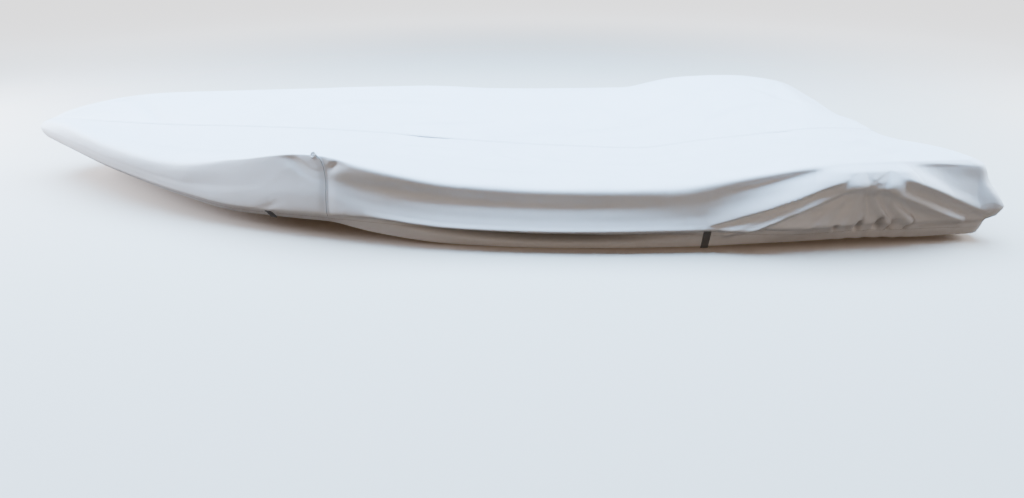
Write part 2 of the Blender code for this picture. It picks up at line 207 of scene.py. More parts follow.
STARBOARD_FOLDS = thousandths(
    (2950, 100, 3150, 190, 3420, 270, 40, 30, 20),
    (3020, 80, 3220, 150, 3430, 245, 26, 26, -18),
    (3120, 60, 3280, 110, 3450, 230, 32, 26, 17),
    (3400, 60, 3430, 140, 3460, 220, 30, 30, -13),
    (3490, 240, 3560, 160, 3620, 70, 26, 30, 12),
    (3500, 255, 3640, 190, 3800, 110, 26, 26, -15),
    (3500, 275, 3680, 215, 3870, 125, 35, 26, 21),
    (4000, 200, 4010, 140, 4020, 60, 45, 45, 9),
    (4130, 190, 4140, 140, 4160, 60, 40, 40, -9),
)

# Small creases that only the finished cloth has, in the same columns
PORT_CREASES = thousandths(
    (3030, 143, 3075, 168, 3135, 186, 12, 8, -6.5),
    (2990, 118, 3050, 150, 3130, 175, 12, 10, 4),
    (3065, 113, 3100, 136, 3130, 150, 10, 8, -4.5),
    (2860, 68, 2930, 68, 3010, 100, 10, 9, -5),
    (3165, 62, 3225, 118, 3320, 200, 14, 12, 6),
    (3230, 60, 3280, 120, 3330, 190, 14, 12, -4),
    (3290, 70, 3320, 130, 3345, 205, 12, 12, 3.5),
    (3285, 94, 3290, 78, 3300, 52, 9, 9, -16),
    (3330, 84, 3338, 68, 3350, 46, 10, 10, -7),
    (3372, 108, 3376, 84, 3386, 50, 10, 10, -19),
    (3446, 116, 3450, 88, 3456, 52, 10, 10, -19),
    (3504, 104, 3508, 78, 3514, 50, 10, 10, -20),
    (3560, 100, 3560, 74, 3566, 46, 9, 9, -16),
    (3225, 80, 3230, 66, 3236, 50, 8, 8, -4),
    (1720, 88, 2250, 43, 2840, 56, 10, 13, -40),
    (3336, 222, 3354, 155, 3370, 65, 22, 22, 16),
    (3368, 208, 3390, 150, 3415, 70, 12, 12, -8),
    (3382, 236, 3418, 155, 3500, 60, 24, 14, 20),
    (3395, 222, 3440, 155, 3540, 60, 12, 13, -11),
    (3418, 220, 3490, 135, 3600, 52, 28, 15, 22),
    (3440, 200, 3535, 136, 3670, 74, 12, 14, -7),
    (3170, 115, 3250, 163, 3330, 225, 12, 14, -6),
    (3600, 145, 3700, 118, 3840, 92, 14, 12, -3),
    (3550, 296, 3680, 275, 3800, 268, 14, 14, -4),
    (1455, 304, 1500, 268, 1552, 258, 12, 8, 3.5),
    (1430, 285, 1480, 240, 1548, 222, 16, 12, -3),
    (1570, 255, 1590, 272, 1605, 294, 8, 9, -6),
    (1250, 96, 1310, 110, 1345, 135, 10, 10, -3),
    (1600, 120, 1670, 108, 1750, 100, 14, 12, -2.5),
    (2450, 135, 2530, 128, 2610, 145, 12, 10, 2),
    (2300, 60, 2420, 44, 2600, 34, 14, 10, -4),
    (550, 190, 850, 160, 1200, 170, 40, 30, -3),
    (4300, 190, 4220, 150, 4160, 80, 18, 18, 4),
)
STARBOARD_CREASES = thousandths(
    (3050, 140, 3150, 172, 3280, 210, 14, 12, -5),
    (3180, 66, 3270, 105, 3380, 170, 14, 14, 4),
    (3460, 235, 3480, 160, 3500, 80, 12, 12, 7),
    (3480, 235, 3520, 165, 3560, 80, 12, 12, -8),
    (3530, 200, 3580, 130, 3630, 75, 12, 12, 6),
    (3440, 150, 3450, 110, 3460, 70, 12, 12, 4.5),
    (3660, 120, 3740, 100, 3830, 92, 12, 12, -3),
    (1000, 190, 1300, 160, 1700, 150, 40, 30, -3.5),
    (2250, 140, 2420, 128, 2600, 140, 14, 12, 2.5),
    (550, 200, 900, 165, 1250, 150, 40, 30, 3),
    (4300, 180, 4220, 140, 4160, 80, 18, 18, 4),
)

SIDE_LINES = {
    PORT: (PORT_FOLDS, PORT_CREASES),
    STARBOARD: (STARBOARD_FOLDS, STARBOARD_CREASES),
}

# Painted shade: a darker cloth colour laid where shadow falls, in the tuck under the lip and
# at the feet of the gathers. The same columns, with an amount from 0 to 1 in place of the rise
TUCK_PAINTED_SHADE = (1720, 90, 2300, 41, 2920, 62, 14, 20)
PAINTED_SHADE_LINES = {
    PORT: thousandths(
        (*TUCK_PAINTED_SHADE, 850),
        (3288, 90, 3296, 74, 3302, 48, 6, 6, 350),
        (3376, 122, 3384, 84, 3392, 48, 7, 7, 550),
        (3436, 128, 3454, 90, 3470, 52, 7, 7, 550),
        (3494, 92, 3508, 70, 3518, 48, 9, 9, 650),
        (3550, 120, 3560, 82, 3568, 46, 7, 7, 600),
        (3600, 66, 3740, 74, 3900, 80, 8, 8, 250),
    ),
    STARBOARD: thousandths(
        (*TUCK_PAINTED_SHADE, 700),
        (3440, 106, 3450, 80, 3460, 50, 11, 11, 500),
        (3530, 100, 3540, 76, 3550, 50, 11, 11, 500),
    ),
}
TOP_PAINTED_SHADE = 26.0          # painted shade on the top's creases for each metre of their rise

# Creases on the top: distance from the bow and breadth of the start, the middle and the
# end, half-width, rise. Port breadths are below zero.
TOP_CREASES = thousandths(
    (1600, 20, 1800, -20, 1980, -70, 14, -2.2),
    (1660, -200, 1800, -190, 1960, -150, 20, 2.6),
    (2050, -126, 2140, -222, 2220, -275, 18, -2.6),
    (2210, -190, 2350, -287, 2500, -333, 20, 3),
    (2490, -190, 2570, -240, 2730, -252, 16, -2.4),
    (2480, -322, 2650, -344, 2880, -322, 22, 2.8),
    (1700, -310, 1870, -355, 2030, -399, 22, 2.4),
    (1960, -440, 2140, -500, 2350, -520, 24, -2.4),
    (2560, -227, 2680, -287, 2880, -322, 16, 2),
    (2670, -364, 2820, -375, 2980, -397, 20, -2.2),
    (3210, -34, 3290, -104, 3360, -222, 16, -2.4),
    (3200, -158, 3320, -235, 3470, -271, 18, 2.6),
    (3270, 87, 3300, 25, 3410, 10, 14, -2),
    (1340, -690, 1400, -715, 1460, -738, 10, 2.2),
    (360, 180, 460, 90, 580, 12, 20, -2.2),
    (1370, -85, 1490, -57, 1620, -43, 14, 1.6),
    (1730, -287, 1900, -299, 2060, -287, 18, -2.2),
    (1550, 110, 1800, 170, 2050, 260, 22, 2.4),
    (1950, 60, 2200, 140, 2420, 270, 20, -2.4),
    (2350, 100, 2550, 200, 2850, 260, 20, 2.6),
    (2600, 300, 2800, 340, 3050, 420, 24, -2.6),
    (1100, 300, 1400, 380, 1750, 420, 26, 2.2),
    (3050, 180, 3200, 260, 3400, 290, 20, 2.4),
    (3320, -520, 3450, -440, 3560, -300, 30, 3),
    (3360, -600, 3500, -560, 3640, -420, 26, -2.6),
    (3360, 520, 3460, 420, 3540, 300, 30, -2.8),
    (620, -330, 860, -380, 1100, -420, 30, 2),
    (200, 130, 260, 160, 340, 170, 22, -4),
)
TOP_CREASE_RISE = 4.0    # how strongly the top's creases stand

GATHER_START = 3.28
GATHER_END = 3.64
GATHER_PITCH = 0.072
GATHER_DEPTH = 0.003
GATHER_TOP = 0.110

# Fine columns: run at the end of the stretch, number of columns, for each half
FINE_COLUMNS = {
    PORT: ((0.04, 4), (0.16, 10), (0.50, 24), (1.43, 60), (1.69, 48), (2.82, 64),
           (3.81, 206), (3.889, 12), (4.22, 24), (4.36, 14), (4.535, 10)),
    STARBOARD: ((0.04, 4), (0.16, 10), (0.50, 24), (1.30, 46), (2.82, 86),
                (3.81, 160), (3.889, 12), (4.22, 24), (4.36, 14), (4.535, 10)),
}
FINE_ROWS = ((1.0, 10), (2.0, 14), (3.0, 14), (4.0, 14), (5.0, 14), (6.0, 10), (7.0, 10),
             (8.0, 12))
TOP_ROWS = 50
TOP_CROWDING = 0.72

# Where the top edge rolls over softly: run, reach of the roll over the top, down the side
EDGE_ROLL = np.array((
    (0.00, 0.016, 0.010),
    (0.60, 0.044, 0.026),
    (1.00, 0.030, 0.018),
    (1.22, 0.010, 0.006),
    (1.56, 0.008, 0.006),
    (1.70, 0.050, 0.022),
    (1.95, 0.120, 0.055),
    (2.30, 0.150, 0.070),
    (2.70, 0.150, 0.070),
    (2.88, 0.090, 0.040),
    (3.06, 0.030, 0.016),
    (3.30, 0.018, 0.012),
    (3.45, 0.010, 0.008),
    (3.80, 0.008, 0.006),
    (4.54, 0.010, 0.008),
))
ROLL_FADE = 1.6          # the roll has gone at about this many reaches from the edge

LINE_STEPS = 18          # straight steps that stand for a bent line
LINE_REACH = 3.0         # half-widths past which a line no longer tells
LINE_TIP = 0.004         # share of a line's length held back at each end
FOLD_FADE = 0.6
CREASE_FADE = 0.9
TROUGH_FOOT = -0.12
FLAT_BREADTH = 0.03      # least half-breadth of the top
CALM_DROP = 0.08         # folds grow over this share of the drop
CALM_DEPTH = (0.04, 0.12)
TUCK_REACH = 0.8
LEAST_ROLL = 1e-4
LEAST_INSET = 1e-6
TINY = 1e-9              # keeps a division from a zero length
NO_SLOPE = 1e-12         # keeps a division from a zero slope

# Angles in degrees past which an edge of the mesh stays sharp
SHARP_CLOTH = 60.0
SHARP_SEAM = 50.0
SHARP_THREAD = 40.0

# Barrel of a stitch: place along it, girth and lift of each ring, as shares
STITCH_RINGS = ((-0.5, 0.25, -0.10), (-0.28, 1.0, 0.30), (0.28, 1.0, 0.30),
                (0.5, 0.25, -0.10))
STITCH_SIDES = 6

# Centre seam: its top as shares of the half width and the height, then how far the rest
# sinks into the cloth
SEAM_TOP = ((0.97, 0.75), (0.8, 1.0), (0.2, 1.0), (-0.6, 1.0), (-0.97, 0.7))
SEAM_EDGE_SINK = 0.0006
SEAM_MIDDLE_SINK = 0.0008
SEAM_STEPS = 421         # over the top
SEAM_END_STEPS = 24      # down the bow and down the stern
SEAM_PASSES = 6          # of smoothing
SEAM_STITCH_PLACE = 0.55
SEAM_STITCH_SINK = 0.98
SEAM_STITCH_SHARE = 0.72     # of the pitch
SEAM_STITCH_ENDS = slice(8, -8)
BOW_SEAM_RISE = 0.9      # the seam stands this much taller near the bow
BOW_SEAM_PLACE = 0.35
BOW_SEAM_REACH = 0.22

HEM_STITCH_ROWS = np.array(((7.05, 7.1, 7.15),))
HEM_STITCH_RUNS = np.linspace(0.03, RUN_END - 0.01, 1400)
HEM_STITCH_LIFT = 0.0001
HEM_STITCH_SHARE = 0.7       # of the pitch

DART_LINE = ((1.524, 0.303), (1.536, 0.300), (1.548, 0.288), (1.553, 0.262), (1.550, 0.200),
             (1.541, 0.150), (1.533, 0.092))
DART_STEPS = 70
DART_PASSES = 8          # of smoothing
DART_FINE_ROWS = 161
DART_PATCH_RUN = 0.004   # to the points that give a normal, along the run and down the rows
DART_PATCH_ROW = 0.15
DART_OFFSET = 0.0030     # each bead of the dart's seam from its line
DART_BEAD = ((0.0022, -0.0008), (0.0017, 0.0009), (0.0005, 0.0019), (-0.0007, 0.0018),
             (-0.0018, 0.0008), (-0.0022, -0.0008), (0.0, -0.0010))
DART_STITCH = {"pitch": 0.0034, "length": 0.0036, "thickness": 0.0016}
DART_STITCH_LIFT = 0.0003
KNOT_SINK = 0.002
KNOT_STEPS = (48, 16)    # round the ring and round its tube
KNOT_RING = 0.0088
KNOT_RING_SWELL = 0.0014
KNOT_TUBE = 0.0036
KNOT_TUBE_SWELL = 0.0011
KNOT_SQUASH = 0.85
KNOT_TURN = 0.6

LOOP_RUNS = {"fore": 1.295, "aft": 2.855}
LOOP_TOP_ROW = 5.9
LOOP_GAP = 0.0003        # between the cloth and the webbing
LOOP_DROP = (0.0012, 0.0060, 5)      # nearest, furthest and number of rows below the hem
LOOP_COLUMNS = 13
LOOP_ROWS = 26
LOOP_ROW_SPOT = 0.003    # between its rows on the flat webbing
LOOP_EDGE = 0.55         # thickness at the edges as a share


# ---------------------------------------------------------------------------------------
# Shape of the cloth

def smooth_line(where, table, column):
    """Read a table's column on a cubic curve that never overshoots.

    Its slope at a row is the harmonic mean of the slopes on both sides, or 0 at a turn.
    """
    known = table[:, 0]
    values = table[:, column]
    steps = np.diff(known)
    slopes = np.diff(values) / steps
    inner = np.where(slopes[1:] * slopes[:-1] > 0.0,
                     2.0 / (1.0 / (slopes[1:] + NO_SLOPE) + 1.0 / (slopes[:-1] + NO_SLOPE)), 0.0)
    tangents = np.concatenate((slopes[:1], inner, slopes[-1:]))
    place = np.clip(where, known[0], known[-1])
    row = np.clip(np.searchsorted(known, place, side="right") - 1, 0, len(steps) - 1)
    t = (place - known[row]) / steps[row]
    start = values[row] * (1 + 2 * t) * (1 - t) ** 2 + tangents[row] * steps[row] * t * (1 - t) ** 2
    end = values[row + 1] * t ** 2 * (3 - 2 * t) + tangents[row + 1] * steps[row] * t ** 2 * (t - 1)
    return start + end


def ease(where, start, end):
    """Rise from 0 at the start to 1 at the end as 3t^2 - 2t^3."""
    t = np.clip((where - start) / (end - start), 0.0, 1.0)
    return t * t * (3.0 - 2.0 * t)


def half_breadth(run):
    """Half-breadth over the rail: a power curve for the bow, a round tip and a stern taper."""
    t = np.clip(run / BEAM_STATION, 0.0, 1.0)
    bow = HALF_BEAM * (1.0 - (1.0 - t) ** BOW_FULLNESS) ** BOW_SHARPNESS
    tip = 2.0 * NOSE_RADIUS * run * np.exp(-run / (2.0 * NOSE_RADIUS))
    aft = np.clip((run - BEAM_STATION) / TAPER_REACH, 0.0, None) ** TAPER_POWER
    return np.sqrt(bow ** 2 + tip) * (1.0 - STERN_TAPER * aft)


def plan_line(run, side, inset, corner, setback, nose):
    """Plan of the rail or top edge: the side's curve, then a quarter circle, then the transom."""
    slant = STERN_SLANT[side]
    side_run = np.minimum(run, SIDE_END)
    breadth = half_breadth(side_run)
    breadth = breadth - inset * (1.0 - np.exp(-breadth / max(inset, LEAST_INSET)))
    along = side_run - (setback + slant) * ease(side_run, SETBACK_START, SIDE_END)
    along = along + nose * (1.0 - ease(side_run, 0.0, NOSE_REACH))
    stern_breadth = half_breadth(SIDE_END) - inset
    turn = np.clip((run - SIDE_END) / RAIL_CORNER, 0.0, np.pi / 2)
    along = along + corner * np.sin(turn)
    breadth = np.where(run > SIDE_END, stern_breadth - corner * (1.0 - np.cos(turn)), breadth)
    past = np.clip(run - SIDE_END - RAIL_CORNER * np.pi / 2, 0.0, None)
    flat = half_breadth(SIDE_END) - RAIL_CORNER
    share = np.clip(past / flat, 0.0, 1.0)
    breadth = breadth - share * (stern_breadth - corner)
    along = along - (STERN_MIDDLE - slant) * np.sin(share * np.pi / 2) ** 2
    return along, breadth


def edge_line(run, side):
    """Plan of the top edge."""
    return plan_line(run, side, EDGE_INSET, EDGE_CORNER, EDGE_SETBACK, EDGE_NOSE)


def bent_line(x, y, rows, fade=FOLD_FADE):
    """Sum of soft ridges and troughs: rise * exp(-(distance / half-width)^2) from bent lines.

    Each line is the quadratic through its start, middle and end, cut into straight steps,
    with one half-width to the left of its way and another to its right. The rise fades
    towards both ends.
    """
    total = np.zeros(np.broadcast(x, y).shape)
    t = np.linspace(0.0, 1.0, LINE_STEPS + 1)
    for x0, y0, x1, y1, x2, y2, *widths, rise in rows:
        line_x = x0 * (1 - t) ** 2 + (4 * x1 - x0 - x2) * t * (1 - t) + x2 * t ** 2
        line_y = y0 * (1 - t) ** 2 + (4 * y1 - y0 - y2) * t * (1 - t) + y2 * t ** 2
        pad = LINE_REACH * max(widths)
        near = ((x > line_x.min() - pad) & (x < line_x.max() + pad)
                & (y > line_y.min() - pad) & (y < line_y.max() + pad))
        if not near.any():
            continue
        px = x[near][:, None] - line_x[:-1]
        py = y[near][:, None] - line_y[:-1]
        step_x = np.diff(line_x)
        step_y = np.diff(line_y)
        share = np.clip((px * step_x + py * step_y) / (step_x ** 2 + step_y ** 2), 0.0, 1.0)
        gap = np.hypot(px - share * step_x, py - share * step_y)
        nearest = np.argmin(gap, axis=1)
        pick = (np.arange(len(nearest)), nearest)
        left = (step_x * py - step_y * px)[pick] > 0.0
        width = np.where(left, widths[0], widths[-1])
        place = np.clip((nearest + share[pick]) / LINE_STEPS, LINE_TIP, 1.0 - LINE_TIP)
        total[near] += rise * np.sin(np.pi * place) ** fade * np.exp(-(gap[pick] / width) ** 2)
    return total


def top_height(along, breadth, side):
    """Height of the top: the centre seam's height plus a share of the rise to the edge.

    The share is (breadth / width)^power, mixed with a smooth step where the top is a trough.
    """
    centre = smooth_line(along, STATIONS, 2)
    edge = smooth_line(along, STATIONS, 1 if side == PORT else 3)
    power = smooth_line(along, STATIONS, 4)
    trough = smooth_line(along, STATIONS, 5)
    width = np.maximum(half_breadth(np.minimum(along, SIDE_END)) - EDGE_INSET, FLAT_BREADTH)
    share = np.clip(breadth / width, 0.0, 1.0)
    rise = (1.0 - trough) * share ** power + trough * ease(share, TROUGH_FOOT, 1.0)
    level = trough * ease(0.0, TROUGH_FOOT, 1.0)
    return centre + (edge - centre) * (rise - level) / (1.0 - level)


def gather_rise(run, height):
    """Short upright pleats: a sine along the run, fading upwards and at both ends."""
    window = ease(run, GATHER_START, GATHER_START + GATHER_PITCH)
    window = window * (1.0 - ease(run, GATHER_END - GATHER_PITCH, GATHER_END))
    fade = 1.0 - ease(height, 0.5 * GATHER_TOP, GATHER_TOP)
    return GATHER_DEPTH * window * fade * np.sin(2.0 * np.pi * run / GATHER_PITCH)


def skirt_points(run, row, side):
    """Outer points of the skirt: the way from edge to rail, plus folds pushed out along it.

    A point falls from the edge by its row's share of the drop to the hem. The rows' three
    kinds are mixed by the shares of the blouse and of the flat stretch.
    """
    run = np.atleast_1d(run)[:, None]
    edge_x, edge_y = edge_line(run, side)
    rail_x, rail_y = plan_line(run, side, 0.0, RAIL_CORNER, 0.0, RAIL_NOSE)
    way_x = rail_x - edge_x
    way_y = rail_y - edge_y
    reach = np.maximum(np.hypot(way_x, way_y), TINY)
    blouse = smooth_line(run, HEM_LINE, 2)
    flat = smooth_line(run, FLAT_STRETCH, 1)
    share, outset, drop = (
        smooth_line(row, SKIRT_ROWS, column) * (1 - blouse) * (1 - flat)
        + smooth_line(row, SKIRT_ROWS, column + 3) * blouse * (1 - flat)
        + smooth_line(row, SKIRT_ROWS, column + 6) * flat
        for column in (1, 2, 3)
    )
    top = top_height(edge_x, edge_y, side)
    hem = smooth_line(run, HEM_LINE, 1)
    height = top - (top - hem) * drop
    calm = ease(drop, 0.0, CALM_DROP) * ease(top - hem, *CALM_DEPTH)
    folds, creases = SIDE_LINES[side]
    wide_run = run + 0.0 * height
    rise = bent_line(wide_run, height, folds) + bent_line(wide_run, height, creases, CREASE_FADE)
    rise = (rise + gather_rise(run, height) + outset) * calm
    hang = smooth_line(run, HEM_LINE, 3) * np.exp(-((drop - OVERHANG_DROP) / OVERHANG_SPREAD) ** 2)
    rise = rise - OVERHANG * hang
    rise = rise - CINCH * blouse * ease(row, TUCK_ROW - TUCK_REACH, TUCK_ROW + TUCK_REACH) * calm
    x = edge_x + way_x * share + way_x / reach * rise
    y = edge_y + way_y * share + way_y / reach * rise
    return np.stack((x, side * y, height), axis=-1)


def top_points(run, share, side):
    """Outer points of the top: straight in plan from the seam's foot to the edge."""
    run = np.atleast_1d(run)[:, None]
    edge_x, edge_y = edge_line(run, side)
    foot = smooth_line(run, SEAM_FEET, 1)
    x = foot + (edge_x - foot) * share
    y = edge_y * share
    height = top_height(x, y, side) + TOP_CREASE_RISE * bent_line(x, side * y, TOP_CREASES)
    return np.stack((x, side * y, height), axis=-1)


def to_part_frame(points):
    """Move points from the bow's datum to the part's frame."""
    return points + np.array((BOW_START, CENTRE_LINE, HEM_DATUM))


def unit(vectors):
    """Vectors of length one."""
    return vectors / np.maximum(np.linalg.norm(vectors, axis=-1, keepdims=True), TINY)


def grid_normals(points, side):
    """Unit normals of a grid: the cross product of its two directions, turned outwards."""
    along = np.gradient(points, axis=0)
    down = np.gradient(points, axis=1)
    return unit(np.cross(down, along) * -side)


def way_down(points):
    """Distance of each point from the first of its row, along the row."""
    step = np.linalg.norm(np.diff(points, axis=1), axis=-1)
    return np.concatenate((np.zeros((len(points), 1)), np.cumsum(step, axis=1)), axis=1)


def stretches(start, parts):
    """Even steps within each stretch of (end, count)."""
    places = [np.array((start,))]
    for end, count in parts:
        places.append(np.linspace(places[-1][-1], end, count + 1)[1:])
    return np.concatenate(places)


def rolled_edge(points, runs, top_count):
    """Round the crease at the top edge: each point becomes a mean over its own column.

    The mean's weight is exp(-(distance / width)^2) along the column. The width is the
    roll's reach at the edge and fades as a bell on both sides.
    """
    place = way_down(points)
    place = place - place[:, top_count:top_count + 1]
    over = smooth_line(runs, EDGE_ROLL, 1)[:, None]
    down = smooth_line(runs, EDGE_ROLL, 2)[:, None]
    share = ease(place, -over, down)
    reach = over + (down - over) * share
    width = reach * np.exp(-(place / (ROLL_FADE * reach)) ** 2) + LEAST_ROLL
    cell = np.gradient(place, axis=1)[:, None, :]
    weight = cell * np.exp(-((place[:, None, :] - place[:, :, None]) / width[:, :, None]) ** 2)
    weight = weight / weight.sum(axis=2, keepdims=True)
    rolled = weight @ points
    rolled[:, (0, -1)] = points[:, (0, -1)]
    return rolled


def cloth_half(side):
    """Outer grid of one half from the centre seam to the hem, with its runs and its painted shade.
    """
    runs = stretches(0.0, FINE_COLUMNS[side])
    shares = 1.0 - (1.0 - np.linspace(0.0, 1.0, TOP_ROWS + 1)[:-1]) ** (1.0 / TOP_CROWDING)
    rows = stretches(0.0, FINE_ROWS)
    top = top_points(runs, shares[None, :], side)
    skirt = skirt_points(runs, rows[None, :], side)
    points = rolled_edge(np.concatenate((top, skirt), axis=1), runs, TOP_ROWS)
    # Painted shade: a darker colour share along the top's creases, by their rise, and along the
    # tuck and the gathers' feet on the skirt, where shadow falls
    soil = np.concatenate((
        TOP_PAINTED_SHADE * np.abs(bent_line(top[..., 0], top[..., 1], TOP_CREASES)),
        bent_line(runs[:, None] + 0.0 * skirt[..., 2], skirt[..., 2], PAINTED_SHADE_LINES[side]),
    ), axis=1)
    return to_part_frame(points), runs, np.clip(soil, 0.0, 1.0)


# ---------------------------------------------------------------------------------------
# Mesh helpers

def grid_faces(index, flip):
    """Squares of a grid of vertex numbers, as an array of four corners each."""
    faces = np.stack((index[:-1, :-1], index[1:, :-1], index[1:, 1:], index[:-1, 1:]), axis=-1)
    faces = faces.reshape(-1, 4)
    return faces[:, ::-1] if flip else faces


def grid_rim(index):
    """The corners round a grid of vertex numbers, in order."""
    return np.concatenate((index[:, 0], index[-1, 1:], index[-2::-1, -1], index[0, -2:0:-1]))


def rim_faces(outer_rim, inner_rim, flip):
    """Faces between two rims, with as many outer steps to each inner step as divide evenly."""
    ratio = len(outer_rim) // len(inner_rim)
    steps = [np.roll(outer_rim, -k)[::ratio] for k in range(ratio + 1)]
    steps[ratio] = np.roll(steps[0], -1)
    faces = np.stack((*steps[::-1], inner_rim, np.roll(inner_rim, -1)), axis=-1)
    return faces[:, ::-1] if flip else faces


def make_piece(name, points, faces, material, smooth_angle=None, spots=None, soil=None):
    """Make a mesh object at the origin from points and faces, with its own UV map.

    Spots hold each point's place on the flat cloth, in metres, and soil its share of painted shade,
    a darker colour that stands for shadow.
    """
    mesh = bpy.data.meshes.new(name)
    mesh.from_pydata(points.reshape(-1, 3).tolist(), [], list(faces))
    if spots is not None:
        layer = mesh.uv_layers.new(name="cloth")
        corners = np.empty(len(mesh.loops), dtype=np.int32)
        mesh.loops.foreach_get("vertex_index", corners)
        layer.data.foreach_set("uv", spots.reshape(-1, 2)[corners].ravel())
    if soil is not None:
        layer = mesh.attributes.new("soil", "FLOAT", "POINT")
        layer.data.foreach_set("value", soil.ravel())
    mesh.shade_smooth()
    if smooth_angle is not None:
        mesh.set_sharp_from_angle(angle=math.radians(smooth_angle))
    mesh.materials.append(material)
    mesh.validate()
    piece = bpy.data.objects.new(name, mesh)
    bpy.context.scene.collection.objects.link(piece)
    return piece


def closed_sheet(outer, inner, side):
    """Points and faces of a closed sheet between an outer grid and an inner one.

    The inner grid may be coarser, with a whole number of outer steps to each of its own.
    """
    index = np.arange(outer.size // 3).reshape(outer.shape[:2])
    under = np.arange(inner.size // 3).reshape(inner.shape[:2]) + index.size
    flip = side == PORT
    faces = grid_faces(index, flip).tolist() + grid_faces(under, not flip).tolist()
    faces += rim_faces(grid_rim(index), grid_rim(under), flip).tolist()
    return np.concatenate((outer.reshape(-1, 3), inner.reshape(-1, 3))), faces


def flat_spots(outer, runs):
    """Place of each point on the flat cloth: its run and its distance down from the seam."""
    return np.stack(np.broadcast_arrays(runs[:, None], way_down(outer)), axis=-1)


def swept_band(path, across, normal, profile):
    """Closed band along a path: each profile point is a place across and a height above.

    point = path + across * profile x + normal * profile y. One face closes each end.
    """
    profile = np.array(profile)
    count = len(profile)
    points = (path[:, None] + across[:, None] * profile[None, :, :1]
              + normal[:, None] * profile[None, :, 1:])
    index = np.arange(len(path) * count).reshape(len(path), count)
    after = np.roll(index, -1, axis=1)
    faces = np.stack((index[:-1], after[:-1], after[1:], index[1:]), axis=-1).reshape(-1, 4)
    caps = [index[0][::-1].tolist(), index[-1].tolist()]
    return points.reshape(-1, 3), faces.tolist() + caps


def path_frame(path, normal):
    """Across and upright directions of a path, square to its tangent."""
    tangent = unit(np.gradient(path, axis=0))
    across = unit(np.cross(tangent, normal))
    return tangent, across, unit(np.cross(across, tangent))


def even_path(path, pitch, *others):
    """Places at an even pitch along a path, with other arrays read at the same places."""
    length = way_down(path[None])[0]
    places = np.arange(pitch / 2, length[-1], pitch)
    return [np.stack([np.interp(places, length, values[:, k]) for k in range(3)], axis=1)
            for values in (path,) + others]


def stitch_row(path, normal, pitch, length, thickness):
    """Points and faces of a row of stitches: a short barrel of four rings for each."""
    spots, uprights = even_path(path, pitch, normal)
    tangent, across, upright = path_frame(spots, uprights)
    angle = np.arange(STITCH_SIDES) * 2 * np.pi / STITCH_SIDES
    points = []
    for along, girth, lift in STITCH_RINGS:
        ring = (across[:, None] * np.cos(angle)[None, :, None]
                + upright[:, None] * np.sin(angle)[None, :, None]) * (thickness / 2 * girth)
        points.append(spots[:, None] + ring + tangent[:, None] * along * length
                      + upright[:, None] * lift * thickness)
    points = np.stack(points, axis=1)
    count, depth = points.shape[:2]
    index = np.arange(points.size // 3).reshape(count, depth, STITCH_SIDES)
    after = np.roll(index, -1, axis=2)
    walls = np.stack((index[:, :-1], after[:, :-1], after[:, 1:], index[:, 1:]), axis=-1)
    ends = np.concatenate((index[:, 0, ::-1], index[:, -1]))
    return points.reshape(-1, 3), walls.reshape(-1, 4).tolist() + ends.tolist()


def join_parts(parts):
    """Put several (points, faces) together."""
    points, faces, start = [], [], 0
    for part_points, part_faces in parts:
        points.append(part_points)
        faces.extend([int(v) + start for v in face] for face in part_faces)
        start += len(part_points)
    return np.concatenate(points), faces


# ---------------------------------------------------------------------------------------
# Materials

WEBBING_PITCH = 0.0022
THREAD_TWIST = 900.0     # bands of twist to a metre


def plug(socket, value):
    """Link a varying value to a socket, or set a plain one."""
    if isinstance(value, bpy.types.NodeSocket):
        socket.id_data.links.new(value, socket)
    else:
        socket.default_value = value


def feed(node, **values):
    """Set or link a node's inputs by name, with an underscore for each space."""
    for label, value in values.items():
        plug(node.inputs[label.replace("_", " ")], value)
    return node


def add_node(tree, kind, **values):
    """A new shader node with its inputs set or linked."""
    return feed(tree.nodes.new(f"ShaderNode{kind}"), **values)


def maths(tree, operation, *values):
    """A Math node with its inputs linked or set."""
    node = tree.nodes.new("ShaderNodeMath")
    node.operation = operation
    for socket, value in zip(node.inputs, values):
        plug(socket, value)
    return node.outputs[0]


def blend_values(tree, share, low, high):
    """low + (high - low) * share, where share is a varying value."""
    return add_node(tree, "MapRange", Value=share, To_Min=low, To_Max=high).outputs["Result"]


def mix_colours(tree, share, first, second):
    """Mix two colours, each fixed or varying, by a varying share."""
    node = tree.nodes.new("ShaderNodeMix")
    node.data_type = "RGBA"
    plug(node.inputs[0], share)
    for socket, colour in zip(node.inputs[6:8], (first, second)):
        plug(socket, colour if isinstance(colour, bpy.types.NodeSocket) else (*colour, 1.0))
    return node.outputs[2]


def bump(tree, height, distance, strength, **normal):
    """A Bump node over a varying height."""
    node = add_node(tree, "Bump", Height=height, Distance=distance, Strength=strength, **normal)
    return node.outputs["Normal"]


def new_group(name, setting, default, outputs):
    """A shader node group that is read at a place, with one plain setting and its outputs."""
    group = bpy.data.node_groups.new(name, "ShaderNodeTree")
    sockets = group.interface
    sockets.new_socket(name="Place", in_out="INPUT", socket_type="NodeSocketVector")
    plain = sockets.new_socket(name=setting, in_out="INPUT", socket_type="NodeSocketFloat")
    plain.default_value = default
    for label in outputs:
        sockets.new_socket(name=label, in_out="OUTPUT", socket_type="NodeSocketFloat")
    return group, group.nodes.new("NodeGroupInput"), group.nodes.new("NodeGroupOutput")


